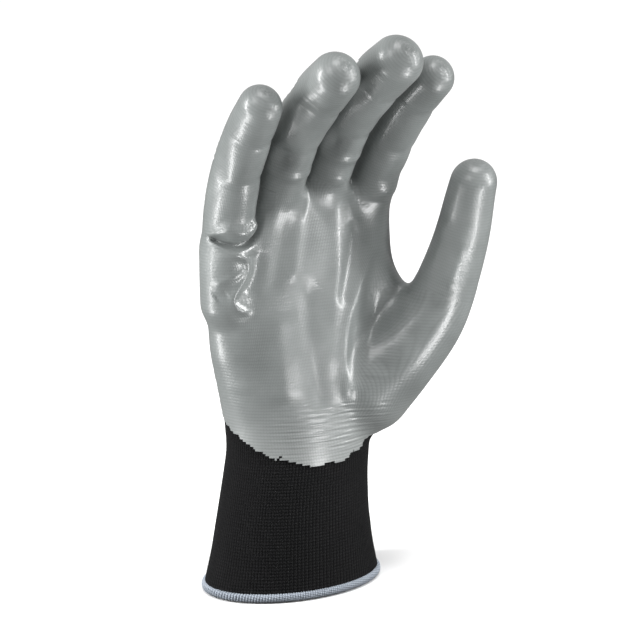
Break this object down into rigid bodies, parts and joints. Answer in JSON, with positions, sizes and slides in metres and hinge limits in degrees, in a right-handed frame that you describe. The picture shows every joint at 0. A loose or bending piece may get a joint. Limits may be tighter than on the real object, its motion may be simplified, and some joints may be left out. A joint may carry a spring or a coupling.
{
  "type": "work glove",
  "caption": "Right-hand work glove: black seamless knit liner with an elastic cuff and overlocked hem, dipped in grey nitrile over the palm, fingers and thumb, bending at every knuckle.",
  "frame": {"origin": "centre of the wrist opening, in the plane of the hem", "axes": "+Z towards the fingertips, +X towards the thumb side, -Y out of the palm"},
  "size_m": [0.115, 0.0884, 0.2296],
  "materials": {
    "knit_black": "black polyester knit, 13 gauge",
    "nitrile_grey": "grey nitrile dip, satin, with the knit showing through",
    "elastic_yarn": "covered elastic yarn",
    "overlock_thread": "blue-grey overlock thread"
  },
  "bodies": {
    "cuff": {"liner_cuff": "knit_black", "cuff_elastic": "elastic_yarn", "hem_overlock": "overlock_thread"},
    "hand": {"liner_hand": "knit_black", "coating_hand": "nitrile_grey"},
    "little_base": {"liner_little_base": "knit_black", "coating_little_base": "nitrile_grey"},
    "little_middle": {"liner_little_middle": "knit_black", "coating_little_middle": "nitrile_grey"},
    "little_tip": {"liner_little_tip": "knit_black", "coating_little_tip": "nitrile_grey"},
    "ring_base": {"liner_ring_base": "knit_black", "coating_ring_base": "nitrile_grey"},
    "ring_middle": {"liner_ring_middle": "knit_black", "coating_ring_middle": "nitrile_grey"},
    "ring_tip": {"liner_ring_tip": "knit_black", "coating_ring_tip": "nitrile_grey"},
    "middle_base": {"liner_middle_base": "knit_black", "coating_middle_base": "nitrile_grey"},
    "middle_middle": {"liner_middle_middle": "knit_black", "coating_middle_middle": "nitrile_grey"},
    "middle_tip": {"liner_middle_tip": "knit_black", "coating_middle_tip": "nitrile_grey"},
    "index_base": {"liner_index_base": "knit_black", "coating_index_base": "nitrile_grey"},
    "index_middle": {"liner_index_middle": "knit_black", "coating_index_middle": "nitrile_grey"},
    "index_tip": {"liner_index_tip": "knit_black", "coating_index_tip": "nitrile_grey"},
    "thumb_base": {"liner_thumb_base": "knit_black", "coating_thumb_base": "nitrile_grey"},
    "thumb_tip": {"liner_thumb_tip": "knit_black", "coating_thumb_tip": "nitrile_grey"}
  },
  "joints": [
    {"name": "wrist_bend", "type": "hinge", "parent": "cuff", "child": "hand", "pos_m": [0, 0, 0.062], "axis": [1, 0, 0], "range_deg": [-45, 50], "stiffness_Nm_per_rad": 0.4},
    {"name": "little_base_bend", "type": "hinge", "parent": "hand", "child": "little_base", "pos_m": [-0.033, -0.003, 0.147], "axis": [0.9977, 0.0523, 0.0436], "range_deg": [-15, 50], "stiffness_Nm_per_rad": 0.05},
    {"name": "little_middle_bend", "type": "hinge", "parent": "little_base", "child": "little_middle", "pos_m": [-0.03383, -0.01126, 0.17583], "axis": [0.9977, 0.0523, 0.0436], "range_deg": [-13, 55], "stiffness_Nm_per_rad": 0.03},
    {"name": "little_tip_bend", "type": "hinge", "parent": "little_middle", "child": "little_tip", "pos_m": [-0.03404, -0.02154, 0.19298], "axis": [0.9977, 0.0523, 0.0436], "range_deg": [-6, 38], "stiffness_Nm_per_rad": 0.02},
    {"name": "ring_base_bend", "type": "hinge", "parent": "hand", "child": "ring_base", "pos_m": [-0.011, -0.001, 0.157], "axis": [0.9983, 0.0523, 0.0261], "range_deg": [-25, 43], "stiffness_Nm_per_rad": 0.05},
    {"name": "ring_middle_bend", "type": "hinge", "parent": "ring_base", "child": "ring_middle", "pos_m": [-0.01098, -0.01687, 0.1882], "axis": [0.9983, 0.0523, 0.0261], "range_deg": [-15, 55], "stiffness_Nm_per_rad": 0.03},
    {"name": "ring_tip_bend", "type": "hinge", "parent": "ring_middle", "child": "ring_tip", "pos_m": [-0.01055, -0.03421, 0.2062], "axis": [0.9983, 0.0523, 0.0261], "range_deg": [-6, 38], "stiffness_Nm_per_rad": 0.02},
    {"name": "middle_base_bend", "type": "hinge", "parent": "hand", "child": "middle_base", "pos_m": [0.011, 0, 0.16], "axis": [0.9986, 0.0523, -0.0087], "range_deg": [-28, 40], "stiffness_Nm_per_rad": 0.05},
    {"name": "middle_middle_bend", "type": "hinge", "parent": "middle_base", "child": "middle_middle", "pos_m": [0.01228, -0.01897, 0.1929], "axis": [0.9986, 0.0523, -0.0087], "range_deg": [-15, 55], "stiffness_Nm_per_rad": 0.03},
    {"name": "middle_tip_bend", "type": "hinge", "parent": "middle_middle", "child": "middle_tip", "pos_m": [0.01348, -0.03869, 0.2113], "axis": [0.9986, 0.0523, -0.0087], "range_deg": [-7, 38], "stiffness_Nm_per_rad": 0.02},
    {"name": "index_base_bend", "type": "hinge", "parent": "hand", "child": "index_base", "pos_m": [0.033, 0, 0.153], "axis": [0.997, 0.0697, -0.0348], "range_deg": [-25, 43], "stiffness_Nm_per_rad": 0.05},
    {"name": "index_middle_bend", "type": "hinge", "parent": "index_base", "child": "index_middle", "pos_m": [0.03513, -0.0154, 0.18324], "axis": [0.997, 0.0697, -0.0348], "range_deg": [-12, 55], "stiffness_Nm_per_rad": 0.03},
    {"name": "index_tip_bend", "type": "hinge", "parent": "index_middle", "child": "index_tip", "pos_m": [0.03686, -0.03111, 0.2013], "axis": [0.997, 0.0697, -0.0348], "range_deg": [-6, 38], "stiffness_Nm_per_rad": 0.02},
    {"name": "thumb_base_bend", "type": "hinge", "parent": "hand", "child": "thumb_base", "pos_m": [0.052, -0.025, 0.108], "axis": [-0.331, 0.9094, 0.2519], "range_deg": [-32, 18], "stiffness_Nm_per_rad": 0.065},
    {"name": "thumb_tip_bend", "type": "hinge", "parent": "thumb_base", "child": "thumb_tip", "pos_m": [0.06044, -0.0309, 0.1404], "axis": [-0.331, 0.9094, 0.2519], "range_deg": [-55, 12], "stiffness_Nm_per_rad": 0.026}
  ]
}
